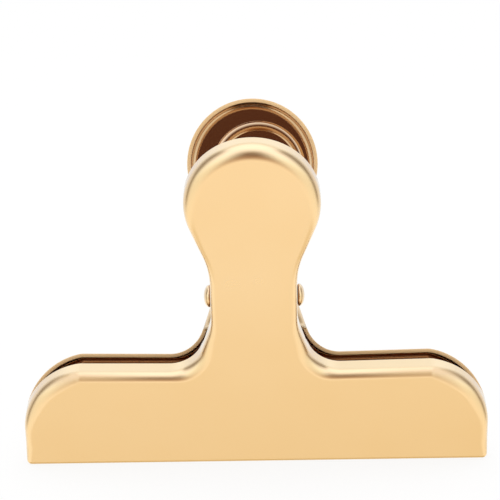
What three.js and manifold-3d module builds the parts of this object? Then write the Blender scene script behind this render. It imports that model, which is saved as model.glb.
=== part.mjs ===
import * as THREE from "three";
import { mergeVertices } from "three/addons/utils/BufferGeometryUtils.js";
import Module from "manifold-3d";

// Bill clip: two pressed sheet leaves that pinch paper, turned on one rivet and
// closed by a torsion spring. Millimetres, +Z up. X runs along the jaw, the front
// leaf is on the -Y side, and the origin is under the middle of the closed jaw.

// Sheet and pressing
const sheet = 0.6;
const edgeRadius = 1.7;
const lean = THREE.MathUtils.degToRad(16);
const jawGap = 0.3;
const lipReach = 1.1;
const flangeDepth = 3.6;
const handleFlangeDepth = 3.7;

// Face outline, measured up the leaf from the jaw edge
const jawWidth = 75;
const jawCornerRadius = 0.8;
const shoulderCornerRadius = 11.1;
const shoulderCornerDrop = 10.45;
const shoulderBendRadius = 3.8;
const shoulderHeight = 17.08;
const shoulderRise = THREE.MathUtils.degToRad(1);
const shoulderFilletRadius = 5.6;
const neckHalfWidth = 6.83;
const neckBottom = 27.5;
const lowerFlare = THREE.MathUtils.degToRad(18.5);
const lowerBlendRadius = 9;
const upperFlare = THREE.MathUtils.degToRad(22.2);
const upperBlendRadius = 15;
const handleRadius = 10.6;
const handleHeight = 48;

// Pivot, ears and rivet
const pivotHeight = 28.1;
const earRadius = 3.4;
const earFootBelow = 5.4;
const earFootAbove = 7.5;
const earTurnLead = 0.8;
const earTurnEnd = 5.5;
const earGap = 0.1;
const rivetRadius = 1.1;
const rivetClearance = 0.25;
const headRadius = 1.8;
const headHeight = 1.2;
const headGap = 0.05;

// Round bead pressed into the rear handle
const beadRadius = 6.9;
const beadWidth = 1.6;
const beadRise = 0.42;
const beadOffset = 1;
const beadBelowHandle = 0.55;

// Torsion spring
const wire = 1.5;
const coilRadius = 4;
const coilTurns = 4;
const legHeight = 10;
const springGap = 0.3;

const wasm = await Module();
wasm.setup();

// The big corner arc hangs from the shoulder line
const cornerHeight = shoulderHeight - shoulderCornerDrop;

// Where the pivot lies on a leaf: up the face, and in from the face
const pivotUp = pivotHeight * Math.cos(lean) - lipReach * Math.sin(lean);
const pivotIn = pivotHeight * Math.sin(lean) + lipReach * Math.cos(lean);

// A point of the outline, with the direction that points away from the sheet
function outlinePoint(x, up, angle) {
  return { x, up, nx: Math.cos(angle), nup: Math.sin(angle) };
}

// An arc whose outward side is its outside when bulge is 1, its inside when -1
function arc(centreX, centreUp, radius, from, to, steps, bulge = 1) {
  const points = [];
  for (let i = 0; i <= steps; i++) {
    const angle = from + ((to - from) * i) / steps;
    const reach = radius * bulge;
    points.push(outlinePoint(centreX + reach * Math.cos(angle), centreUp + reach * Math.sin(angle), angle));
  }
  return points;
}

// The points between two outline points, without the ends
function between(a, b, steps) {
  const angle = Math.atan2(a.nup, a.nx);
  const points = [];
  for (let i = 1; i < steps; i++) {
    const t = i / steps;
    points.push(outlinePoint(a.x + (b.x - a.x) * t, a.up + (b.up - a.up) * t, angle));
  }
  return points;
}

// The centre of the small bend that rounds the shoulder line into the corner arc:
// its own radius below the line, and inside the corner arc by both radii
function shoulderBendCentre(normal, slope) {
  const cornerX = jawWidth / 2 - shoulderCornerRadius;
  const startX = -shoulderBendRadius * Math.cos(normal) - cornerX;
  const startUp = shoulderHeight - shoulderBendRadius * Math.sin(normal) - cornerHeight;
  const reach = shoulderCornerRadius - shoulderBendRadius;
  const a = 1 + slope * slope;
  const b = startX + slope * startUp;
  const c = startX * startX + startUp * startUp - reach * reach;
  const along = (-b + Math.sqrt(b * b - a * c)) / a;
  return [cornerX + startX + along, cornerHeight + startUp + slope * along];
}

// Half of the outline, from the middle of the jaw edge to the top of the handle
function halfOutline() {
  const half = jawWidth / 2;
  const quarter = Math.PI / 2;
  const shoulderNormal = quarter + shoulderRise;
  const slope = Math.tan(shoulderRise);

  const jawCorner = arc(half - jawCornerRadius, jawCornerRadius, jawCornerRadius, -quarter, 0, 3);
  const [bendX, bendUp] = shoulderBendCentre(shoulderNormal, slope);
  const bendAngle = Math.atan2(bendUp - cornerHeight, bendX - half + shoulderCornerRadius);
  const corner = arc(half - shoulderCornerRadius, cornerHeight, shoulderCornerRadius, 0, bendAngle, 8);
  const bend = arc(bendX, bendUp, shoulderBendRadius, bendAngle, shoulderNormal, 3);

  // The fillet touches the shoulder line and the flare line, so its centre lies
  // its radius outside both of them
  const flareX = neckHalfWidth + lowerBlendRadius * (1 - Math.cos(lowerFlare));
  const flareUp = neckBottom - lowerBlendRadius * Math.sin(lowerFlare);
  const flareReach = flareX * Math.cos(lowerFlare) + flareUp * Math.sin(lowerFlare) + shoulderFilletRadius;
  const shoulderReach = shoulderHeight * Math.cos(shoulderRise) + shoulderFilletRadius;
  const turn = Math.cos(lowerFlare) * Math.cos(shoulderRise) + Math.sin(lowerFlare) * Math.sin(shoulderRise);
  const filletX = (flareReach * Math.cos(shoulderRise) - shoulderReach * Math.sin(lowerFlare)) / turn;
  const filletUp = (shoulderReach * Math.cos(lowerFlare) + flareReach * Math.sin(shoulderRise)) / turn;
  const fillet = arc(filletX, filletUp, shoulderFilletRadius, shoulderNormal, lowerFlare, 8, -1);
  const lowerBlend = arc(neckHalfWidth + lowerBlendRadius, neckBottom, lowerBlendRadius, lowerFlare, 0, 4, -1);

  // The upper flare leaves the handle circle along its tangent
  const blendX = neckHalfWidth + upperBlendRadius * (1 - Math.cos(upperFlare));
  const tangentX = handleRadius * Math.cos(upperFlare);
  const tangentUp = handleHeight - handleRadius * Math.sin(upperFlare);
  const blendUp = tangentUp - (tangentX - blendX) / Math.tan(upperFlare);
  const neckTop = blendUp - upperBlendRadius * Math.sin(upperFlare);
  const upperBlend = arc(neckHalfWidth + upperBlendRadius, neckTop, upperBlendRadius, 0, -upperFlare, 4, -1);
  const handle = arc(0, handleHeight, handleRadius, -upperFlare, quarter, 15);

  const start = outlinePoint(0, 0, -quarter);
  return [
    start, ...between(start, jawCorner[0], 3), ...jawCorner,
    ...between(jawCorner.at(-1), corner[0], 6), ...corner, ...bend.slice(1),
    ...between(bend.at(-1), fillet[0], 4), ...fillet,
    ...between(fillet.at(-1), lowerBlend[0], 4), ...lowerBlend,
    ...between(lowerBlend.at(-1), upperBlend[0], 8), ...upperBlend,
    ...between(upperBlend.at(-1), handle[0], 2), ...handle,
  ];
}

// The whole outline, anticlockwise, the left half mirrored from the right
function leafOutline() {
  const right = halfOutline();
  const left = right.slice(1, -1).reverse().map((p) => ({ x: -p.x, up: p.up, nx: -p.nx, nup: p.nup }));
  return [...right, ...left];
}

// How far the ear reaches in from the face at a height: straight sides that touch
// the round end about the pivot
function earDepth(up, foot) {
  const away = Math.abs(up - pivotUp);
  const span = up < pivotUp ? earFootBelow : earFootAbove;
  const inward = pivotIn - foot;
  const slant = Math.atan2(span, inward) - Math.asin(earRadius / Math.hypot(span, inward));
  const touchAway = earRadius * Math.cos(slant);
  if (away < touchAway) return pivotIn + Math.sqrt(earRadius * earRadius - away * away);
  if (away < span) return foot + (span - away) / Math.tan(slant);
  return foot;
}

// Depth of the flange away from the ears, a little deeper round the handle
function plainFlange(up) {
  const rise = THREE.MathUtils.smoothstep(up, neckBottom, handleHeight);
  return flangeDepth + (handleFlangeDepth - flangeDepth) * rise;
}

// Depth of the flange at an outline point: it ends on the mid plane near the jaw,
// and reaches out into the ear at the neck
function flangeAt(p) {
  const midPlane = (lipReach - jawGap / 2 + p.up * Math.sin(lean)) / Math.cos(lean);
  const plain = plainFlange(p.up);
  const deep = Math.abs(p.x) < handleRadius ? earDepth(p.up, plain) : plain;
  return Math.min(midPlane, deep);
}

// Depth at which the wall starts to turn flat: the edge of a plain flange, and a
// little sooner under an ear
function earTurnStart(up, full) {
  const plain = plainFlange(up);
  return plain - earTurnLead * THREE.MathUtils.smoothstep(full, plain, earTurnEnd);
}

// Round bead: radius and height of each ring, up one wave and down again to the
// flat middle
function beadProfile() {
  const rings = [];
  const steps = 6;
  for (let i = 0; i <= steps; i++) {
    const t = i / steps;
    const height = (beadRise * (1 - Math.cos(t * Math.PI * 2))) / 2;
    rings.push([beadRadius + beadWidth * (0.5 - t), height]);
  }
  return rings;
}

// One leaf as a shell of constant sheet: a flat face, a rounded edge, a flange and
// two ears. Local X is across, Y in from the face and Z up the leaf.
function leafGeometry(earOuter, beadX) {
  const outline = leafOutline();
  const positions = [];
  const triangles = [];
  const bendSteps = 3;
  const wallRings = [3, 4.2, earTurnEnd, Infinity];

  const place = (x, depth, up) => positions.push(x, depth, up) / 3 - 1;
  const inside = (p, distance) => [p.x - p.nx * distance, p.up - p.nup * distance];

  // A ring of points at each step from the face to the flange edge, skin 0 being
  // the outer skin and 1 the inner one
  function ringsOf(skin) {
    const thick = skin * sheet;
    const rings = [];
    for (let step = 0; step < bendSteps + 1 + wallRings.length; step++) {
      rings.push(outline.map((p) => {
        const full = flangeAt(p);
        const radius = Math.min(edgeRadius, full * 0.65);
        const bend = (Math.min(step, bendSteps) / bendSteps) * (Math.PI / 2);
        const [x, up] = inside(p, radius - (radius - thick) * Math.sin(bend));
        const bent = radius - (radius - thick) * Math.cos(bend);
        if (step <= bendSteps) return place(x, bent, up);
        const share = (step - bendSteps) / wallRings.length;
        const depth = Math.min(wallRings[step - bendSteps - 1], radius + (full - radius) * share);
        const turn = THREE.MathUtils.smoothstep(depth, earTurnStart(p.up, full), earTurnEnd);
        const flatX = Math.sign(p.x) * (earOuter - thick);
        return place(x + (flatX - x) * turn, depth, up + (p.up - up) * turn);
      }));
    }
    return rings;
  }

  // Triangles between two rings of equal length, wound the other way when flip is set
  function join(lower, upper, flip) {
    for (let i = 0; i < lower.length; i++) {
      const j = (i + 1) % lower.length;
      const quad = [lower[i], lower[j], upper[j], upper[i]];
      if (flip) quad.reverse();
      triangles.push(quad[0], quad[1], quad[2], quad[0], quad[2], quad[3]);
    }
  }

  function circle(radius, depth) {
    const ring = [];
    const steps = 36;
    for (let i = 0; i < steps; i++) {
      const angle = (i / steps) * Math.PI * 2;
      const up = handleHeight - beadBelowHandle + radius * Math.sin(angle);
      ring.push(place(beadX + radius * Math.cos(angle), depth, up));
    }
    return ring;
  }

  // The flat face inside the first ring, with the bead let into it where there is one
  function face(ring, skin) {
    const flat = (list) => list.map((i) => new THREE.Vector2(positions[i * 3], positions[i * 3 + 2]));
    const bead = beadX === null ? [] : beadProfile().map(([r, height]) => circle(r, skin * sheet + height));
    const hole = bead.length ? [...bead[0]].reverse() : [];
    const all = [...ring, ...hole];
    const holes = hole.length ? [flat(hole)] : [];
    for (const cap of THREE.ShapeUtils.triangulateShape(flat(ring), holes)) {
      const corners = cap.map((i) => all[i]);
      triangles.push(...(skin ? corners.reverse() : corners));
    }
    for (let i = 1; i < bead.length; i++) join(bead[i - 1], bead[i], skin === 1);
    if (!bead.length) return;
    const floor = bead.at(-1);
    const centre = place(beadX, positions[floor[0] * 3 + 1], handleHeight - beadBelowHandle);
    for (let i = 0; i < floor.length; i++) {
      const pair = [floor[i], floor[(i + 1) % floor.length]];
      if (skin) pair.reverse();
      triangles.push(...pair, centre);
    }
  }

  const outer = ringsOf(0);
  const inner = ringsOf(1);
  for (let i = 1; i < outer.length; i++) {
    join(outer[i - 1], outer[i], true);
    join(inner[i - 1], inner[i], false);
  }
  join(outer.at(-1), inner.at(-1), true);
  face(outer[0], 0);
  face(inner[0], 1);
  return geometryOf(new Float32Array(positions), new Uint32Array(triangles));
}

function geometryOf(positions, triangles) {
  const geometry = new THREE.BufferGeometry();
  geometry.setAttribute("position", new THREE.BufferAttribute(positions, 3));
  geometry.setIndex(new THREE.BufferAttribute(triangles, 1));
  return geometry;
}

function solidOf(geometry) {
  const bare = geometry.clone();
  bare.deleteAttribute("normal");
  bare.deleteAttribute("uv");
  const merged = mergeVertices(bare, 1e-5);
  return new wasm.Manifold(new wasm.Mesh({
    numProp: 3,
    vertProperties: new Float32Array(merged.attributes.position.array),
    triVerts: new Uint32Array(merged.index.array),
  }));
}

// The leaf with the rivet's hole through both of its ears
function drilledLeaf(earOuter, beadX) {
  const drill = new THREE.CylinderGeometry(
    rivetRadius + rivetClearance, rivetRadius + rivetClearance, jawWidth, 24);
  drill.rotateZ(Math.PI / 2);
  drill.translate(0, pivotIn, pivotUp);
  const mesh = solidOf(leafGeometry(earOuter, beadX)).subtract(solidOf(drill)).getMesh();
  return geometryOf(mesh.vertProperties, mesh.triVerts);
}

// Rivet: a plain shank with a domed head formed against each of the front leaf's ears
function rivetGeometry(earOuter) {
  const seat = earOuter + headGap;
  const domeSteps = 5;
  const end = [];
  for (let i = 0; i <= domeSteps; i++) {
    const angle = (i / domeSteps) * (Math.PI / 2);
    const rim = headHeight * 0.15;
    end.push([headRadius * Math.sin(angle), seat + rim + (headHeight - rim) * Math.cos(angle)]);
  }
  end.push([headRadius, seat], [rivetRadius, seat]);
  const mirrored = [...end].reverse().map(([r, along]) => [r, -along]);
  const profile = [...end, ...mirrored].reverse().map(([r, along]) => new THREE.Vector2(r, along));
  const geometry = new THREE.LatheGeometry(profile, 24);
  geometry.rotateZ(-Math.PI / 2);
  geometry.translate(0, 0, pivotHeight);
  return geometry;
}

// Spring path: up the front leaf's leg, round the rivet, and out along the rear leg.
// A leg leaves the coil along its tangent and leans out until it meets its leaf.
class SpringPath extends THREE.Curve {
  constructor() {
    super();
    const bearing = wire / 2 + springGap + sheet;
    const up = pivotHeight + legHeight;
    const leafUp = (up - bearing * Math.sin(lean)) / Math.cos(lean);
    const leafY = lipReach + leafUp * Math.sin(lean) - bearing * Math.cos(lean);
    this.tip = [leafY, up];
    const distance = Math.hypot(leafY, legHeight);
    this.angle = Math.acos(coilRadius / distance) - Math.atan2(legHeight, leafY);
    this.leg = Math.sqrt(distance * distance - coilRadius * coilRadius);
    this.sweep = Math.PI * 2 * coilTurns + Math.PI - 2 * this.angle;
    this.halfWidth = neckHalfWidth - earGap - 2 * sheet - springGap - wire / 2;
    this.coil = Math.hypot(this.sweep * coilRadius, 2 * this.halfWidth);
    this.total = this.coil + 2 * this.leg;
  }

  getPoint(t, target = new THREE.Vector3()) {
    const along = t * this.total;
    const start = Math.PI + this.angle;
    const legPoint = (side, share) => {
      const y = coilRadius * Math.cos(this.angle);
      const z = pivotHeight - coilRadius * Math.sin(this.angle);
      return target.set(side * this.halfWidth, side * (y + (this.tip[0] - y) * share),
        z + (this.tip[1] - z) * share);
    };
    if (along < this.leg) return legPoint(-1, 1 - along / this.leg);
    if (along > this.leg + this.coil) return legPoint(1, (along - this.leg - this.coil) / this.leg);
    const share = (along - this.leg) / this.coil;
    const angle = start + share * this.sweep;
    return target.set((2 * share - 1) * this.halfWidth, coilRadius * Math.cos(angle),
      pivotHeight + coilRadius * Math.sin(angle));
  }
}

// The least clear distance between two turns of the wire, measured on its path
function leastSpringGap(path) {
  const steps = 900;
  const points = path.getSpacedPoints(steps);
  const apart = Math.ceil((steps * Math.PI * coilRadius) / path.total);
  let least = Infinity;
  for (let i = 0; i < points.length; i++) {
    for (let j = i + apart; j < points.length; j++) least = Math.min(least, points[i].distanceTo(points[j]));
  }
  return least - wire;
}

function springGeometry() {
  const path = new SpringPath();
  console.log("least gap between spring turns, mm", leastSpringGap(path).toFixed(2));
  const section = new THREE.Shape();
  const sides = 5;
  for (let i = 0; i < sides; i++) {
    const angle = (i / sides) * Math.PI * 2;
    const corner = [(wire / 2) * Math.cos(angle), (wire / 2) * Math.sin(angle)];
    if (i) section.lineTo(...corner);
    else section.moveTo(...corner);
  }
  const stepsPerTurn = 8;
  const steps = Math.ceil((path.total * stepsPerTurn) / (Math.PI * 2 * coilRadius));
  return new THREE.ExtrudeGeometry(section, { steps, bevelEnabled: false, extrudePath: path });
}

const plating = new THREE.MeshStandardMaterial({ color: 0xf2c98c, roughness: 0.12, metalness: 1 });
const springSteel = new THREE.MeshStandardMaterial({ color: 0xb9b4ab, roughness: 0.3, metalness: 1 });

function namedMesh(name, geometry, material) {
  const mesh = new THREE.Mesh(geometry, material);
  mesh.name = name;
  return mesh;
}

// A leaf leaned out from the jaw edge, turned about Z to the side it belongs on
function placedLeaf(mesh, turn) {
  mesh.position.y = -lipReach;
  mesh.rotation.x = lean;
  const side = new THREE.Group();
  side.rotation.z = turn;
  side.add(mesh);
  return side;
}

const rearEar = neckHalfWidth - sheet - earGap;
const clip = new THREE.Group();
clip.add(placedLeaf(namedMesh("front_leaf", drilledLeaf(neckHalfWidth, null), plating), 0));
clip.add(placedLeaf(namedMesh("rear_leaf", drilledLeaf(rearEar, -beadOffset), plating), Math.PI));
clip.add(namedMesh("pivot_rivet", rivetGeometry(neckHalfWidth), plating));
clip.add(namedMesh("torsion_spring", springGeometry(), springSteel));

// The jaw edge is rounded, so the whole clip comes down until it stands on the ground
const standing = new THREE.Box3().setFromObject(clip, true).min.z;
for (const child of clip.children) child.position.z -= standing;
console.log("pivot height standing, mm", (pivotHeight - standing).toFixed(3));

// The handles stop the clip where the tops of their flanges meet above the pivot
const rimAcross = (handleHeight + handleRadius) * Math.sin(lean) + lipReach - handleFlangeDepth * Math.cos(lean);
const rimUp = (handleHeight + handleRadius) * Math.cos(lean) + handleFlangeDepth * Math.sin(lean) - pivotHeight;
const handlesMeet = 2 * THREE.MathUtils.radToDeg(Math.atan2(rimAcross, rimUp));
console.log("handle flanges meet at, degrees", handlesMeet.toFixed(1));

export default clip;
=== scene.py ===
import math

import bmesh
import bpy
import numpy as np
from mathutils import Matrix, Vector
from mathutils.geometry import tessellate_polygon


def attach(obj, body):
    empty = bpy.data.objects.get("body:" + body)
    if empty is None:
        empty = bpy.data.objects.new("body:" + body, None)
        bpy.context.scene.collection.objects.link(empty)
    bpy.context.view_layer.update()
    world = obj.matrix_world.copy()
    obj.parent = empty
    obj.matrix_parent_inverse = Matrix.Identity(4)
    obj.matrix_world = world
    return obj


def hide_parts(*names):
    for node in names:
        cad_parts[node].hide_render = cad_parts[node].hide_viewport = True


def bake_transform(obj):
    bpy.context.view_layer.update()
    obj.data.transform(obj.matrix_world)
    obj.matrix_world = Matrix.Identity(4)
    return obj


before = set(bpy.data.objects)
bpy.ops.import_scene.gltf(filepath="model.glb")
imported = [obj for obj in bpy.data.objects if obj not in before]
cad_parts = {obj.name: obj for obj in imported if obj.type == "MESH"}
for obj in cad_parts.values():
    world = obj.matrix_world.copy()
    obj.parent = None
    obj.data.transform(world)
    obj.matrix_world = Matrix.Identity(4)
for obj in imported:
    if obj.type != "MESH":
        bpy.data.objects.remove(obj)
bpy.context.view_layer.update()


# Front leaf. One pressing of 0.6 mm steel sheet, plated in a copper and gold
# colour and polished: a flat T-shaped face, a rounded edge all round, a flange
# behind it and two ears that fold back outside the rear leaf's ears for the rivet.

# Sizes are in mm. Up and in are measured along and behind the flat face, before the
# leaf leans. Standing is how far the leaned clip comes down to stand on the table.
SHEET = 0.6
LEAN = math.radians(16)
LIP_REACH = 1.1
NECK_HALF_WIDTH = 6.83
NECK_BOTTOM = 27.5
HANDLE_RADIUS = 10.6
HANDLE_HEIGHT = 48.0
STANDING = 0.1712
PIVOT_HEIGHT = 28.1
PIVOT_UP = PIVOT_HEIGHT * math.cos(LEAN) - LIP_REACH * math.sin(LEAN)
PIVOT_IN = PIVOT_HEIGHT * math.sin(LEAN) + LIP_REACH * math.cos(LEAN)


def smooth(value, low, high):
    """Zero below low, one above high, and 3t^2 - 2t^3 between them."""
    t = np.clip((value - low) / (high - low), 0, 1)
    return t * t * (3 - 2 * t)


def full_turn(steps):
    """Even angles round a circle, from 0 to the last one before 360 degrees."""
    return np.linspace(0, 2 * math.pi, steps, endpoint=False)


def ring_faces(rings, steps, first=0):
    """Quads between each closed ring of points and the next one. The rings follow each
    other from the given first point."""
    ring, step = np.meshgrid(np.arange(rings - 1), np.arange(steps), indexing="ij")
    after = (step + 1) % steps
    quads = np.stack([ring * steps + step, ring * steps + after,
                      (ring + 1) * steps + after, (ring + 1) * steps + step], axis=2)
    return (first + quads.reshape(-1, 4)).tolist()


def outline_arc(centre, radius, start, stop, steps, bulge=1):
    """Points of a circle at even angles, each with its direction away from the sheet.
    Columns are across, up, and that direction. Bulge -1 puts the sheet outside the circle."""
    angle = np.linspace(start, stop, steps + 1)
    away = np.stack([np.cos(angle), np.sin(angle)], axis=1)
    return np.hstack([np.array(centre) + bulge * radius * away, away])


def outline_line(a, b, steps):
    """Evenly spaced points between two outline points, ends left out, with the direction
    of the first one."""
    t = np.linspace(0, 1, steps + 1)[1:-1, None]
    points = a[:2] + (b[:2] - a[:2]) * t
    return np.hstack([points, np.repeat(a[None, 2:], len(points), axis=0)])


def leaf_outline():
    """Half of the T as lines and tangent arcs from the middle of the jaw edge to the
    top of the handle, then its mirror image, all anticlockwise."""
    quarter = math.pi / 2
    half, jaw_corner = 37.5, 0.8
    corner_radius, corner_up, bend_radius = 11.1, 6.63, 3.8
    shoulder, rise, fillet_radius = 17.08, math.radians(1), 5.6
    low_flare, low_blend = math.radians(18.5), 9.0
    high_flare, high_blend = math.radians(22.2), 15.0

    jaw_centre = (half - jaw_corner, jaw_corner)
    edge = outline_arc(jaw_centre, jaw_corner, -quarter, 0, steps=10)
    start = np.array([0.0, 0.0, 0.0, -1.0])

    # The small bend touches the shoulder line and the inside of the corner arc
    normal, slope = quarter + rise, math.tan(rise)
    x0 = -bend_radius * math.cos(normal) - (half - corner_radius)
    z0 = shoulder - bend_radius * math.sin(normal) - corner_up
    a, b = 1 + slope**2, x0 + slope * z0
    c = x0**2 + z0**2 - (corner_radius - bend_radius)**2
    along = (-b + math.sqrt(b * b - a * c)) / a
    bend_x, bend_z = half - corner_radius + x0 + along, corner_up + z0 + slope * along
    bend_angle = math.atan2(bend_z - corner_up, bend_x - half + corner_radius)
    corner_centre = (half - corner_radius, corner_up)
    corner = outline_arc(corner_centre, corner_radius, 0, bend_angle, steps=36)
    bend = outline_arc((bend_x, bend_z), bend_radius, bend_angle, normal, steps=12)

    # The fillet touches the shoulder line and the flare line from outside
    flare_x = NECK_HALF_WIDTH + low_blend * (1 - math.cos(low_flare))
    flare_z = NECK_BOTTOM - low_blend * math.sin(low_flare)
    flare_reach = flare_x * math.cos(low_flare) + flare_z * math.sin(low_flare) + fillet_radius
    line_reach = shoulder * math.cos(rise) + fillet_radius
    turn = math.cos(low_flare - rise)
    fillet_x = (flare_reach * math.cos(rise) - line_reach * math.sin(low_flare)) / turn
    fillet_z = (line_reach * math.cos(low_flare) + flare_reach * math.sin(rise)) / turn
    fillet_centre, low_centre = (fillet_x, fillet_z), (NECK_HALF_WIDTH + low_blend, NECK_BOTTOM)
    fillet = outline_arc(fillet_centre, fillet_radius, normal, low_flare, steps=30, bulge=-1)
    low = outline_arc(low_centre, low_blend, low_flare, 0, steps=10, bulge=-1)

    # The upper flare leaves the handle circle along its tangent
    blend_x = NECK_HALF_WIDTH + high_blend * (1 - math.cos(high_flare))
    tangent_x = HANDLE_RADIUS * math.cos(high_flare)
    tangent_z = HANDLE_HEIGHT - HANDLE_RADIUS * math.sin(high_flare)
    flare_drop = (tangent_x - blend_x) / math.tan(high_flare)
    neck_top = tangent_z - flare_drop - high_blend * math.sin(high_flare)
    high_centre = (NECK_HALF_WIDTH + high_blend, neck_top)
    high = outline_arc(high_centre, high_blend, 0, -high_flare, steps=14, bulge=-1)
    handle = outline_arc((0, HANDLE_HEIGHT), HANDLE_RADIUS, -high_flare, quarter, steps=60)

    right = np.vstack([
        start[None], outline_line(start, edge[0], steps=24),
        edge, outline_line(edge[-1], corner[0], steps=10),
        corner, bend[1:], outline_line(bend[-1], fillet[0], steps=16),
        fillet, outline_line(fillet[-1], low[0], steps=8),
        low, outline_line(low[-1], high[0], steps=20),
        high, outline_line(high[-1], handle[0], steps=6), handle])
    left = right[1:-1][::-1] * np.array([-1, 1, -1, 1])
    return np.vstack([right, left])


def plain_flange(up):
    """Depth of the flange away from the ears: 3.6 mm, easing to 3.7 mm round the handle."""
    at_jaw, more_at_handle = 3.6, 0.1
    return at_jaw + more_at_handle * smooth(up, NECK_BOTTOM, HANDLE_HEIGHT)


def flange_depth(across, up):
    """How far the flange reaches in from the face: to 0.15 mm off the mid plane near the jaw
    edge, its plain depth beyond it, and out to a round ear about the pivot."""
    half_gap, ear = 0.15, 3.4
    span_below, span_above = 5.4, 7.5
    mid_plane = (LIP_REACH - half_gap + up * math.sin(LEAN)) / math.cos(LEAN)
    plain = plain_flange(up)
    away = np.abs(up - PIVOT_UP)
    span = np.where(up < PIVOT_UP, span_below, span_above)
    inward = PIVOT_IN - plain
    slant = np.arctan2(span, inward) - np.arcsin(ear / np.hypot(span, inward))
    touch = ear * np.cos(slant)
    tip = PIVOT_IN + np.sqrt(np.clip(ear**2 - away**2, 0, None))
    flank = plain + (span - away) / np.tan(slant)
    tab = np.where(away < touch, tip, np.where(away < span, flank, plain))
    return np.minimum(mid_plane, np.where(np.abs(across) < HANDLE_RADIUS, tab, plain))


def edge_radius(outline, flange, handle_edge):
    """Radius of the bend between face and flange: 1.3 mm along the jaw, 2 mm at its corners,
    1.8 mm where the neck starts and 0.95 mm up the neck, easing to the handle's own. It
    stays below 0.65 of the flange's depth."""
    across, up, nx, _ = outline.T
    jaw_edge, neck_edge, most_of_flange = 1.3, 0.95, 0.65
    more_at_corner, more_at_fillet, corner_from = 0.7, 0.5, 20
    corner_up, neck_up, handle_up = (6, 12), (19, 25), (39, 53)
    fillet_from, fillet_to, fillet_fade = 10, 28, 7
    corner = smooth(np.abs(nx), 0, 0.6) * smooth(up, *corner_up) * (np.abs(across) > corner_from)
    fillet = smooth(np.abs(nx), 0, 0.5) * smooth(fillet_to - up, 0, fillet_fade)
    fillet = fillet * (np.abs(across) < corner_from) * (up > fillet_from)
    radius = jaw_edge + more_at_corner * corner + more_at_fillet * fillet
    radius = radius + (neck_edge - jaw_edge) * smooth(up, *neck_up)
    radius = radius + (handle_edge - neck_edge) * smooth(up, *handle_up)
    return np.minimum(radius, flange * most_of_flange)


def sheet_section():
    """The sheet's section as rings from the outer face round the flange's end to the inner
    face. Columns are depth below the outer skin, bend angle, share of the straight wall,
    distance short of the flange's end, and a slight inset of the first and last ring."""
    rim, first_inset, quarter = 0.06, 0.03, math.pi / 2
    bend_rings, wall_rings, nose_rings = 12, 15, 6
    bends = np.linspace(0, quarter, bend_rings)
    shares = np.linspace(0, 1, wall_rings)[1:]
    nose = np.linspace(0, quarter, nose_rings)[1:]
    rows = [(0, 0, 0, 0, first_inset)]
    rows += [(0, b, 0, 0, 0) for b in bends]
    rows += [(0, quarter, s, rim, 0) for s in shares]
    rows += [(rim * (1 - math.cos(a)), quarter, 1, rim * (1 - math.sin(a)), 0) for a in nose]
    mirrored = [(SHEET - t, b, s, e, x) for t, b, s, e, x in reversed(rows)]
    return np.array(rows + mirrored)


# Share of painted shade inside the handle and on its bead's inner skin.
HANDLE_PAINTED_SHADE = 0.55


def leaf_marks(outline, section, z, depth, turn):
    """Values that the plating reads at each point of each ring. The cut edge is the sheet's
    end, inside its inner skin. The painted shade mark browns the plating as painted shade:
    over the inner skin, least at the jaw edge, and as a painted contact shadow on the ear
    round the rivet. Satin is rougher: the shoulder's bend and, inside, the handle's."""
    across, up, _, nz = outline.T
    thick, bend, share = (column[:, None] for column in section.T[:3])
    rings, count = z.shape
    outer = thick == 0
    cut_edge = ((thick > 0) & (thick < SHEET)) * np.ones(count)
    inside = (np.arange(rings)[:, None] * 2 >= rings) * np.ones(count)

    # Painted shade on the inner skin: 0.3 at the jaw edge, full from 13 mm up, easing down to the
    # handle's share from 26 to 38 mm, and 0.7 less on the cut edge.
    jaw_painted_shade, jaw_up, handle_up, less_on_cut = 0.3, (0, 13), (26, 38), 0.7
    painted_shadow_ring = (1.7, 3.2)
    painted_shade = jaw_painted_shade + (1 - jaw_painted_shade) * smooth(z, *jaw_up)
    painted_shade = painted_shade - (1 - HANDLE_PAINTED_SHADE) * smooth(z, *handle_up)
    from_rivet = np.hypot(z - PIVOT_UP, depth - PIVOT_IN)
    painted_shade_mark = inside * painted_shade * (1 - cut_edge * less_on_cut)
    # A painted contact shadow browns the outer ear within 1.7 mm of the rivet, fading out by 3.2
    # mm.
    painted_shade_mark = painted_shade_mark + outer * turn * (1 - smooth(from_rivet, *painted_shadow_ring))

    near_neck, more_at_corner, corner_across = 0.5, 2, (14, 28)
    below_handle, handle_bend_up, facing_up = 30, (36, 42), (0.7, 1)
    shoulder = outer * (share == 0) * np.sin(2 * bend)
    shoulder = shoulder * smooth(nz, *facing_up) * (up < below_handle)
    satin = shoulder * (near_neck + more_at_corner * smooth(np.abs(across), *corner_across))
    satin = satin + inside * np.sin(bend) * smooth(z, *handle_bend_up)
    return {"cut edge": cut_edge.ravel(), "inside": inside.ravel(),
            "painted_shade_mark": painted_shade_mark.ravel(), "satin": satin.ravel()}


def press_bead(points, marks, bead, centre, level):
    """Adds the bead's rings to the points and marks of one skin, and gives the points, the
    faces with the flat middle, and the loop of the bead's foot."""
    base, steps = len(points), 96
    around = full_turn(steps)
    radius, height = bead[:, 0, None], bead[:, 1, None]
    x = centre[0] + radius * np.cos(around)
    z = centre[1] + radius * np.sin(around)
    y = np.broadcast_to(height + level, x.shape)
    inner = np.full(x.size, level / SHEET)
    # The bead's inner skin takes the handle's painted shade; its outer skin takes none.
    for label, amount in (("cut edge", 0), ("satin", 0), ("inside", 1), ("painted_shade_mark", HANDLE_PAINTED_SHADE)):
        marks[label] = np.append(marks[label], inner * amount)
    points = np.vstack([points, np.stack([x, y, z], axis=2).reshape(-1, 3)])
    middle = list(range(len(points) - steps, len(points)))
    return points, ring_faces(len(bead), steps, base) + [middle], list(range(base, base + steps))


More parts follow.
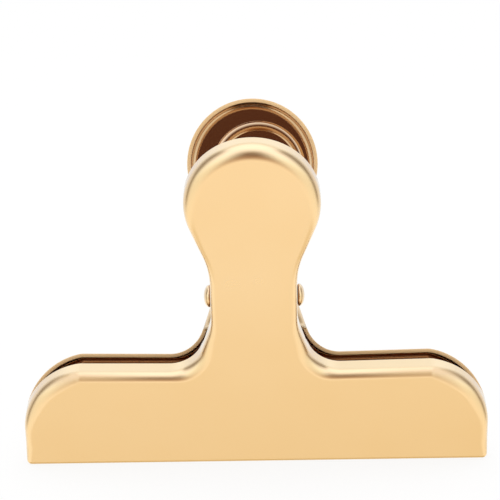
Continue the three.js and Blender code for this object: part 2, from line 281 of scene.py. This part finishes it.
def press_leaf(name, ear_outer, handle_edge, bead=None, bead_centre=None, turned=False):
    """Carries the sheet's section round the outline, so that each ring is the outline
    moved inward and in depth, and turns it into a flat ear at the neck. It then closes
    both flat faces and leans the leaf on its jaw edge."""
    outline, section = leaf_outline(), sheet_section()
    across, up, nx, nz = outline.T
    thick, bend, share, short, extra = (column[:, None] for column in section.T)
    full = flange_depth(across, up)
    radius = edge_radius(outline, full, handle_edge)
    inset = radius - (radius - thick) * np.sin(bend) + extra
    depth = radius - (radius - thick) * np.cos(bend) + (full - short - radius) * share
    plain = plain_flange(up)
    ear_flat, ear_starts_before = 5.5, 0.8
    turn = smooth(depth, plain - ear_starts_before * smooth(full, plain, ear_flat), ear_flat)
    x, z = across - nx * inset, up - nz * inset
    x = x + (np.sign(across) * (ear_outer - thick) - x) * turn
    z = z + (up - z) * turn
    rings, count = x.shape
    points = np.stack([x, depth, z], axis=2).reshape(-1, 3)
    marks = leaf_marks(outline, section, z, depth, turn)
    faces = ring_faces(rings, count)

    # Each flat face is closed between its last ring and the foot of the bead
    for first, level in ((0, 0.0), ((rings - 1) * count, SHEET)):
        loops = [list(range(first, first + count))]
        if bead is not None:
            points, bead_faces, foot = press_bead(points, marks, bead, bead_centre, level)
            faces += bead_faces
            loops.append(foot)
        flat = [v for loop in loops for v in loop]
        cut = tessellate_polygon(
            [[Vector((points[v][0], points[v][2], 0)) for v in loop] for loop in loops])
        faces += [[flat[c] for c in triangle] for triangle in cut]

    y = points[:, 1] * math.cos(LEAN) - points[:, 2] * math.sin(LEAN) - LIP_REACH
    z = points[:, 1] * math.sin(LEAN) + points[:, 2] * math.cos(LEAN) - STANDING
    side = -1 if turned else 1
    placed = np.stack([side * points[:, 0], side * y, z], axis=1) / 1000
    return closed_piece(name, placed, faces, marks=marks)


SHARP_DEGREES = 40


def closed_piece(name, points, faces, sharp=SHARP_DEGREES, marks=None):
    """A mesh object at the origin from points in metres, its faces turned outwards and
    shaded smooth except across edges sharper than the given angle. Marks are named
    values, one for each point, that the materials read."""
    mesh = bpy.data.meshes.new(name)
    mesh.from_pydata(points.tolist(), [], faces)
    for label, values in (marks or {}).items():
        mesh.attributes.new(label, "FLOAT", "POINT").data.foreach_set("value", values)
    shape = bmesh.new()
    shape.from_mesh(mesh)
    bmesh.ops.remove_doubles(shape, verts=shape.verts, dist=1e-7)
    bmesh.ops.recalc_face_normals(shape, faces=shape.faces)
    shape.to_mesh(mesh)
    shape.free()
    mesh.polygons.foreach_set("use_smooth", [True] * len(mesh.polygons))
    mesh.set_sharp_from_angle(angle=math.radians(sharp))
    piece = bpy.data.objects.new(name, mesh)
    bpy.context.scene.collection.objects.link(piece)
    return piece


def drill_ears(leaf):
    """Cuts the rivet's hole of 1.35 mm radius through both ears, along X at the pivot."""
    radius, reach, steps = 1.35, 12, 64
    around = full_turn(steps)
    height = radius * np.sin(around) + PIVOT_HEIGHT - STANDING
    ring = np.stack([radius * np.cos(around), height], axis=1)
    ends = [np.insert(ring, 0, x, axis=1) for x in (-reach, reach)]
    caps = [list(range(steps)), list(range(steps, 2 * steps))]
    drill = closed_piece("drill", np.vstack(ends) / 1000, ring_faces(2, steps) + caps)
    cut = leaf.modifiers.new("rivet hole", "BOOLEAN")
    cut.object, cut.operation, cut.solver = drill, "DIFFERENCE", "EXACT"
    depsgraph = bpy.context.evaluated_depsgraph_get()
    drilled = bpy.data.meshes.new_from_object(leaf.evaluated_get(depsgraph))
    leaf.modifiers.clear()
    leaf.data = drilled
    drilled.set_sharp_from_angle(angle=math.radians(SHARP_DEGREES))
    bpy.data.objects.remove(drill)


def effect_group(name, inputs, outputs):
    """An empty shader node group with the given named float inputs and typed outputs."""
    group = bpy.data.node_groups.new(name, "ShaderNodeTree")
    new_socket = group.interface.new_socket
    for label, value in inputs.items():
        new_socket(label, in_out="INPUT", socket_type="NodeSocketFloat").default_value = value
    for label, kind in outputs.items():
        new_socket(label, in_out="OUTPUT", socket_type=kind)
    return group, group.nodes.new("NodeGroupInput"), group.nodes.new("NodeGroupOutput")


# Polished metal keeps fine scratches from the wheel, cloudy patches and a slight
# waviness of the sheet. The group gives all three from Object coordinates.
polish, given, result = effect_group(
    "polished sheet",
    {"Scratch": 0.5, "Waviness": 0.5, "Gloss": 0.12, "Cloud": 0.06},
    {"Patches": "NodeSocketFloat", "Roughness": "NodeSocketFloat", "Normal": "NodeSocketVector"})
nodes, link = polish.nodes, polish.links.new
place = nodes.new("ShaderNodeTexCoord")
patches = nodes.new("ShaderNodeTexNoise")
patches.inputs["Scale"].default_value = 40
patches.inputs["Detail"].default_value = 3
link(place.outputs["Object"], patches.inputs["Vector"])
grain_place = nodes.new("ShaderNodeMapping")
grain_place.inputs["Scale"].default_value = (2600, 2600, 160)
link(place.outputs["Object"], grain_place.inputs["Vector"])
grain = nodes.new("ShaderNodeTexNoise")
grain.inputs["Scale"].default_value = 1
grain.inputs["Detail"].default_value = 4
link(grain_place.outputs["Vector"], grain.inputs["Vector"])
wave = nodes.new("ShaderNodeTexNoise")
wave.inputs["Scale"].default_value = 70
wave.inputs["Detail"].default_value = 1
link(place.outputs["Object"], wave.inputs["Vector"])
rough = nodes.new("ShaderNodeMath")
rough.operation = "MULTIPLY_ADD"
link(patches.outputs["Fac"], rough.inputs[0])
link(given.outputs["Cloud"], rough.inputs[1])
link(given.outputs["Gloss"], rough.inputs[2])
wavy = nodes.new("ShaderNodeBump")
wavy.inputs["Distance"].default_value = 0.00006
link(given.outputs["Waviness"], wavy.inputs["Strength"])
link(wave.outputs["Fac"], wavy.inputs["Height"])
scratched = nodes.new("ShaderNodeBump")
scratched.inputs["Distance"].default_value = 0.000004
link(given.outputs["Scratch"], scratched.inputs["Strength"])
link(grain.outputs["Fac"], scratched.inputs["Height"])
link(wavy.outputs["Normal"], scratched.inputs["Normal"])
link(patches.outputs["Fac"], result.inputs["Patches"])
link(rough.outputs["Value"], result.inputs["Roughness"])
link(scratched.outputs["Normal"], result.inputs["Normal"])


def reckon(tree, operation, *values):
    """One Math node, or an eased Map Range for the name EASE with value, low and high."""
    if operation == "EASE":
        node = tree.nodes.new("ShaderNodeMapRange")
        node.interpolation_type = "SMOOTHSTEP"
    else:
        node = tree.nodes.new("ShaderNodeMath")
        node.operation = operation
    for slot, value in enumerate(values):
        if isinstance(value, bpy.types.NodeSocket):
            tree.links.new(value, node.inputs[slot])
        else:
            node.inputs[slot].default_value = value
    return node.outputs[0]


def shade(tree, amount, first, second):
    """A colour between two, each given as three numbers or as a socket. The Mix node has
    more than one socket of each name, so that its colour sockets are picked by place."""
    factor, first_colour, second_colour, mixed_colour = 0, 6, 7, 2
    node = tree.nodes.new("ShaderNodeMix")
    node.data_type = "RGBA"
    tree.links.new(amount, node.inputs[factor])
    for slot, value in ((first_colour, first), (second_colour, second)):
        if isinstance(value, bpy.types.NodeSocket):
            tree.links.new(value, node.inputs[slot])
        else:
            node.inputs[slot].default_value = (*value, 1)
    return node.outputs[mixed_colour]


def metal(name, bright, dull, painted_shade, gloss, cloud, scratch, waviness, coat):
    """A metal whose colour drifts between two tones in soft patches, under the polish group.
    It turns to the painted shade colour where the painted shade mark is set, a brown painted
    in for shade, and is glossier inside, a little rougher where it is satin, and rough and
    less metallic on a cut edge."""
    material = bpy.data.materials.new(name)
    material.use_nodes = True
    tree = material.node_tree
    shader = tree.nodes["Principled BSDF"]
    shader.inputs["Coat Weight"].default_value = coat
    shader.inputs["Coat Roughness"].default_value = 0.06
    shader.inputs["Coat IOR"].default_value = 1.6
    group = tree.nodes.new("ShaderNodeGroup")
    group.node_tree = polish
    settings = {"Scratch": scratch, "Waviness": waviness, "Gloss": gloss, "Cloud": cloud}
    for label, value in settings.items():
        group.inputs[label].default_value = value
    marks = {}
    for label in ("painted_shade_mark", "inside", "cut edge", "satin"):
        mark = tree.nodes.new("ShaderNodeAttribute")
        mark.attribute_name = label
        marks[label] = mark.outputs["Fac"]
    drift = shade(tree, group.outputs["Patches"], bright, dull)
    rough = group.outputs["Roughness"]
    for label, change in (("inside", -0.16), ("satin", 0.12), ("cut edge", 0.3)):
        rough = reckon(tree, "MULTIPLY_ADD", marks[label], change, rough)
    less_on_cut = -0.6
    metallic = reckon(tree, "MULTIPLY_ADD", marks["cut edge"], less_on_cut, 1.0)
    # Painted shade: the painted shade mark turns the colour to the brown painted shade colour.
    tree.links.new(shade(tree, marks["painted_shade_mark"], drift, painted_shade), shader.inputs["Base Color"])
    tree.links.new(rough, shader.inputs["Roughness"])
    tree.links.new(metallic, shader.inputs["Metallic"])
    tree.links.new(group.outputs["Normal"], shader.inputs["Normal"])
    return material


# The brown painted shade colour stands in for shade inside the leaves and at the feet of the rivet
# heads.
plating = metal(
    "gold plating", bright=(0.97, 0.685, 0.37), dull=(0.945, 0.625, 0.28),
    painted_shade=(0.46, 0.24, 0.115), gloss=0.26, cloud=0.05, scratch=0.4, waviness=0.4, coat=1.0)

front = press_leaf("front_pressing", ear_outer=NECK_HALF_WIDTH, handle_edge=2.15)
drill_ears(front)
front.data.materials.append(plating)
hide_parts("front_leaf")
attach(front, "front")


# Rear leaf. The same pressing turned round, its ears joggled inside the front
# leaf's ears. A round bead is pressed into its handle towards the inside, and
# shows as a round groove in the outer face.

EAR_PLAY = 0.1


def bead_section():
    """Radius and height of the bead from its outer foot to its inner one: an arc 1.5 mm
    wide that rises 33 degrees at each foot."""
    middle, half_width, rise, arc_points = 6.9, 0.75, math.radians(33), 29
    outer_foot, inner_foot = 7.66, 6.1
    angle = np.linspace(-rise, rise, arc_points)
    curve = half_width / math.sin(rise)
    height = curve * (np.cos(angle) - math.cos(rise))
    arc = np.stack([middle - curve * np.sin(angle), height], axis=1)
    return np.vstack([[[outer_foot, 0.0]], arc, [[inner_foot, 0.0]]])


rear = press_leaf(
    "rear_pressing", ear_outer=NECK_HALF_WIDTH - SHEET - EAR_PLAY, handle_edge=1.7,
    bead=bead_section(), bead_centre=(-1.0, HANDLE_HEIGHT - 0.55), turned=True)
drill_ears(rear)
rear.data.materials.append(plating)
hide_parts("rear_leaf")
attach(rear, "rear")


# Rivet. A plated steel pin through all four ears, its two domed heads formed
# against the front leaf's ears. It holds the leaves together and carries the spring.

def rivet_section():
    """Half a rivet as radius and place along X: a flattened dome, a rim that rounds back to
    the ear and the shank's radius, then its mirror."""
    gap, height, radius, rim = 0.05, 1.2, 1.8, 0.35
    undercut, shank, curve_points = 0.45, 1.1, 14
    seat = NECK_HALF_WIDTH + gap
    angle = np.linspace(0, math.pi / 2, curve_points)
    dome = np.stack([radius * np.sin(angle), seat + rim + (height - rim) * np.cos(angle)], axis=1)
    back = angle[1:]
    under_radius = radius - undercut * (1 - np.cos(back))
    under = np.stack([under_radius, seat + rim * (1 - np.sin(back))], axis=1)
    half = np.vstack([dome, under, [[shank, seat]]])
    return np.vstack([half, half[::-1] * [1, -1]])


def turn_rivet(name, section, height, steps=64):
    """Turns the section about the X axis at a height. Its first and last points lie on the
    axis and become poles. The foot of each head is marked with painted shade, a brown painted
    shadow where the head meets the ear."""
    # Painted shadow browns each head up to 0.1 mm past the ear's face and fades to gold by 0.6 mm.
    painted_shadow_to, gold_from, sharp = 0.1, 0.6, 50
    around = full_turn(steps)
    r, along = section[1:-1, 0, None], section[1:-1, 1, None]
    rings = np.stack([np.broadcast_to(along, (len(r), steps)), r * np.cos(around),
                      r * np.sin(around) + height], axis=2)
    poles = np.array([[section[0, 1], 0, height], [section[-1, 1], 0, height]])
    first_pole = len(r) * steps
    last = first_pole - steps
    fans = [[first_pole, (n + 1) % steps, n] for n in range(steps)]
    fans += [[first_pole + 1, last + n, last + (n + 1) % steps] for n in range(steps)]
    points = np.vstack([rings.reshape(-1, 3), poles])
    # The painted shadow at the foot of each head, as a mark for each ring.
    past_ear = np.abs(along[:, 0]) - NECK_HALF_WIDTH
    foot = 1 - smooth(past_ear, painted_shadow_to, gold_from)
    marks = {"painted_shade_mark": np.append(np.repeat(foot, steps), [0, 0])}
    faces = ring_faces(len(r), steps) + fans
    return closed_piece(name, points / 1000, faces, sharp=sharp, marks=marks)


rivet = turn_rivet("rivet", rivet_section(), PIVOT_HEIGHT - STANDING)
rivet.data.materials.append(plating)
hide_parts("pivot_rivet")
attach(rivet, "rear")


# Torsion spring. Round spring wire, bright drawn, wound on the rivet between the
# ears. One leg runs up each leaf and pushes the handles apart, so the jaw closes.

WIRE = 1.5


def spring_path(coil=4.0, turns=4, leg=10.0):
    """A helix along X about the pivot, with a straight leg at each end that leaves the coil
    on its tangent and ends 0.3 mm short of a leaf's inner face."""
    gap, coil_points, leg_points = 0.3, 330, 24
    bearing = WIRE / 2 + gap + SHEET
    tip_z = PIVOT_HEIGHT + leg
    tip_y = (tip_z - bearing * math.sin(LEAN)) * math.tan(LEAN)
    tip_y = LIP_REACH + tip_y - bearing * math.cos(LEAN)
    offset = math.acos(coil / math.hypot(tip_y, leg)) - math.atan2(leg, tip_y)
    half = NECK_HALF_WIDTH - EAR_PLAY - 2 * SHEET - gap - WIRE / 2
    share = np.linspace(0, 1, coil_points)
    angle = math.pi + offset + share * (2 * math.pi * turns + math.pi - 2 * offset)
    height = PIVOT_HEIGHT + coil * np.sin(angle)
    helix = np.stack([(2 * share - 1) * half, coil * np.cos(angle), height], axis=1)
    out = np.linspace(0, 1, leg_points)[1:, None]
    end = helix[-1] + (np.array([half, tip_y, tip_z]) - helix[-1]) * out
    start = helix[0] + (np.array([-half, -tip_y, tip_z]) - helix[0]) * out
    return np.vstack([start[::-1], helix, end])


def wire_tube(name, path, radius, sides=20):
    """Carries a circle along a path, square to it, and closes each end with a rounded cut.
    The rings of the cut have their own share of the radius and place along the wire."""
    cut_share, cut_place, cut_depth = np.array([0.0, 0.85, 0.97]), [0.0, 0.0, 0.06], 0.15
    rings_in_cut = len(cut_share)
    tangent = np.gradient(path, axis=0)
    tangent /= np.linalg.norm(tangent, axis=1, keepdims=True)
    across = np.cross(tangent, [1.0, 0, 0])
    across /= np.linalg.norm(across, axis=1, keepdims=True)
    other = np.cross(tangent, across)
    along = np.array(cut_place)[:, None]
    scale = np.concatenate([cut_share, np.ones(len(path)), cut_share[::-1]]) * radius
    centre = np.vstack([path[0] + tangent[0] * along, path, path[-1] - tangent[-1] * along[::-1]])
    centre[rings_in_cut] += tangent[0] * cut_depth
    centre[-rings_in_cut - 1] -= tangent[-1] * cut_depth
    u, v = (np.pad(side, ((rings_in_cut, rings_in_cut), (0, 0)), mode="edge")[:, None]
            for side in (across, other))
    around = full_turn(sides)[None, :, None]
    rings = centre[:, None] + scale[:, None, None] * (np.cos(around) * u + np.sin(around) * v)
    return closed_piece(name, rings.reshape(-1, 3) / 1000, ring_faces(len(rings), sides))


spring = wire_tube("spring", spring_path() - [0, 0, STANDING], WIRE / 2)
spring.data.materials.append(metal(
    "spring wire", bright=(0.56, 0.53, 0.5), dull=(0.45, 0.42, 0.4), painted_shade=(0.4, 0.38, 0.36),
    gloss=0.22, cloud=0.12, scratch=0.8, waviness=0.1, coat=0.0))
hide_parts("torsion_spring")
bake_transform(spring)


# Table, light and camera. A white table in a white surround, under a soft lamp.
# Polished metal also shows the dark end of the room in front, as brown lines.

def stage_plane(name, corners, material):
    """A flat four-cornered sheet that isn't part of the object."""
    mesh = bpy.data.meshes.new(name)
    mesh.from_pydata(corners, [], [[0, 1, 2, 3]])
    plane = bpy.data.objects.new(name, mesh)
    plane.data.materials.append(material)
    bpy.context.scene.collection.objects.link(plane)
    return plane


# The table shows white to the camera and keeps the clip's shadow
white_share = 0.85
table = bpy.data.materials.new("table")
table.use_nodes = True
tree = table.node_tree
shader = tree.nodes["Principled BSDF"]
shader.inputs["Base Color"].default_value = (0.96, 0.96, 0.96, 1)
shader.inputs["Roughness"].default_value = 0.9
shader.inputs["Specular IOR Level"].default_value = 0
seen = tree.nodes.new("ShaderNodeLightPath")
glow = tree.nodes.new("ShaderNodeEmission")
mix = tree.nodes.new("ShaderNodeMixShader")
to_camera = reckon(tree, "MULTIPLY", seen.outputs["Is Camera Ray"], white_share)
tree.links.new(to_camera, mix.inputs["Fac"])
tree.links.new(shader.outputs["BSDF"], mix.inputs[1])
tree.links.new(glow.outputs["Emission"], mix.inputs[2])
tree.links.new(mix.outputs["Shader"], tree.nodes["Material Output"].inputs["Surface"])
table_top = stage_plane("table_top", [(-2, -2, 0), (2, -2, 0), (2, 2, 0), (-2, 2, 0)], table)
table_top.visible_glossy = False

# The surround is white. Polished metal shows it as a room: the table in front, a dark
# end above it, a lit ceiling, a pale wall behind and a dark upright on each side.
world = bpy.data.worlds.new("white surround")
bpy.context.scene.world = world
world.use_nodes = True
tree = world.node_tree
sky = tree.nodes["Background"]
sky.inputs["Strength"].default_value = 2
seen = tree.nodes.new("ShaderNodeLightPath")
facing = tree.nodes.new("ShaderNodeTexCoord")
direction = tree.nodes.new("ShaderNodeSeparateXYZ")
tree.links.new(facing.outputs["Generated"], direction.inputs["Vector"])
x, y, z = (direction.outputs[axis] for axis in "XYZ")


def wall(height, *stops):
    """A colour that changes with height, from stops of sine of elevation and colour. The
    ramp holds half the colour, as it can't go above one, and the background doubles it."""
    ramp = tree.nodes.new("ShaderNodeValToRGB")
    tree.links.new(height, ramp.inputs["Fac"])
    for _ in stops[2:]:
        ramp.color_ramp.elements.new(0.5)
    for element, (sine, colour) in zip(ramp.color_ramp.elements, stops):
        element.position = sine / 2 + 0.5
        element.color = (*(channel / 2 for channel in colour), 1)
    return ramp.outputs["Color"]


height = reckon(tree, "MULTIPLY_ADD", z, 0.5, 0.5)
underneath, table_edge = (-0.84, (0.75, 0.66, 0.46)), (-0.72, (1.15, 1.16, 1.12))
ceiling = (1.35, 1.5, 1.85)
front_wall = wall(
    height, underneath, (-0.72, (1.2, 1.23, 1.22)), (-0.6, (1.15, 1.12, 1.05)),
    (-0.45, (0.85, 0.78, 0.72)), (-0.3, (0.5, 0.36, 0.29)), (-0.1, (0.3, 0.14, 0.09)),
    (0.1, (0.16, 0.065, 0.04)), (0.35, (0.1, 0.036, 0.02)), (0.5, (0.35, 0.27, 0.25)),
    (0.7, (0.9, 1.0, 1.2)), (0.9, ceiling))
side_wall = wall(
    height, underneath, table_edge, (-0.3, (0.98, 1.02, 1.0)), (0.0, (1.02, 1.1, 1.12)),
    (0.3, (1.2, 1.38, 1.55)), (0.6, ceiling))
rear_wall = wall(
    height, underneath, table_edge, (-0.3, (0.95, 0.98, 0.98)), (0.0, (0.85, 0.9, 1.0)),
    (0.7, (1.09, 1.27, 1.52)), (0.88, (0.87, 0.97, 1.12)), (0.97, (1.25, 1.42, 1.75)))

# The walls ease into each other between two values of the direction's own X or Y
front_to_side, side_to_rear = (0.06, 0.52), (0.0, 0.3)
sideways = reckon(tree, "ABSOLUTE", x)
aside = reckon(tree, "EASE", sideways, *front_to_side)
room = shade(tree, aside, front_wall, side_wall)
room = shade(tree, reckon(tree, "EASE", y, *side_to_rear), room, rear_wall)

# Each upright is a bell curve about its place in Y, wider above the horizon
upright_place, upright_width, wider_above, widening = 0.1, 0.2, 0.2, (0.05, 0.4)
upright_from_side, upright_foot = (0.45, 0.65), (-0.5, -0.25)
upright_share, upright_colour = 0.9, (0.08, 0.06, 0.05)
above = reckon(tree, "EASE", z, *widening)
spread = reckon(tree, "MULTIPLY_ADD", above, wider_above, upright_width)
offset = reckon(tree, "DIVIDE", reckon(tree, "SUBTRACT", y, upright_place), spread)
squared = reckon(tree, "MULTIPLY", offset, offset)
upright = reckon(tree, "EXPONENT", reckon(tree, "MULTIPLY", squared, -1.0))
for fade in (reckon(tree, "EASE", sideways, *upright_from_side),
             reckon(tree, "EASE", z, *upright_foot), upright_share):
    upright = reckon(tree, "MULTIPLY", upright, fade)
room = shade(tree, upright, room, upright_colour)
white = (0.5, 0.5, 0.5)
tree.links.new(shade(tree, seen.outputs["Is Glossy Ray"], white, room), sky.inputs["Color"])

lamp = bpy.data.lights.new("soft lamp", "AREA")
lamp.shape = "RECTANGLE"
lamp.size, lamp.size_y = 0.5, 0.35
lamp.energy = 0.3
lamp_head = bpy.data.objects.new("soft lamp", lamp)
lamp_head.location = (0, 0.05, 0.5)
lamp_head.visible_glossy = False
bpy.context.scene.collection.objects.link(lamp_head)

# The camera looks at the clip from the front and a little above, in metres and radians
tilt, turn, roll, distance = 0.27593, 0.00883, 0.01758, 0.4
target = Vector((-0.00054, 0, 0.03566 - STANDING / 1000))
sensor_width, focal_pixels, frame_pixels = 36, 2507.7, 500
back = Vector((math.sin(turn) * math.cos(tilt), -math.cos(turn) * math.cos(tilt), math.sin(tilt)))
right = (-back).cross(Vector((0, 0, 1))).normalized()
upward = right.cross(-back)
level_x = math.cos(roll) * right - math.sin(roll) * upward
level_y = math.sin(roll) * right + math.cos(roll) * upward
view = bpy.data.cameras.new("view")
view.sensor_width = sensor_width
view.lens = focal_pixels * sensor_width / frame_pixels
camera = bpy.data.objects.new("view", view)
standpoint = target + distance * back
camera.matrix_world = Matrix((
    (level_x.x, level_y.x, back.x, standpoint.x), (level_x.y, level_y.y, back.y, standpoint.y),
    (level_x.z, level_y.z, back.z, standpoint.z), (0, 0, 0, 1)))
bpy.context.scene.collection.objects.link(camera)
bpy.context.scene.camera = camera
bpy.context.scene.view_settings.view_transform = "Standard"
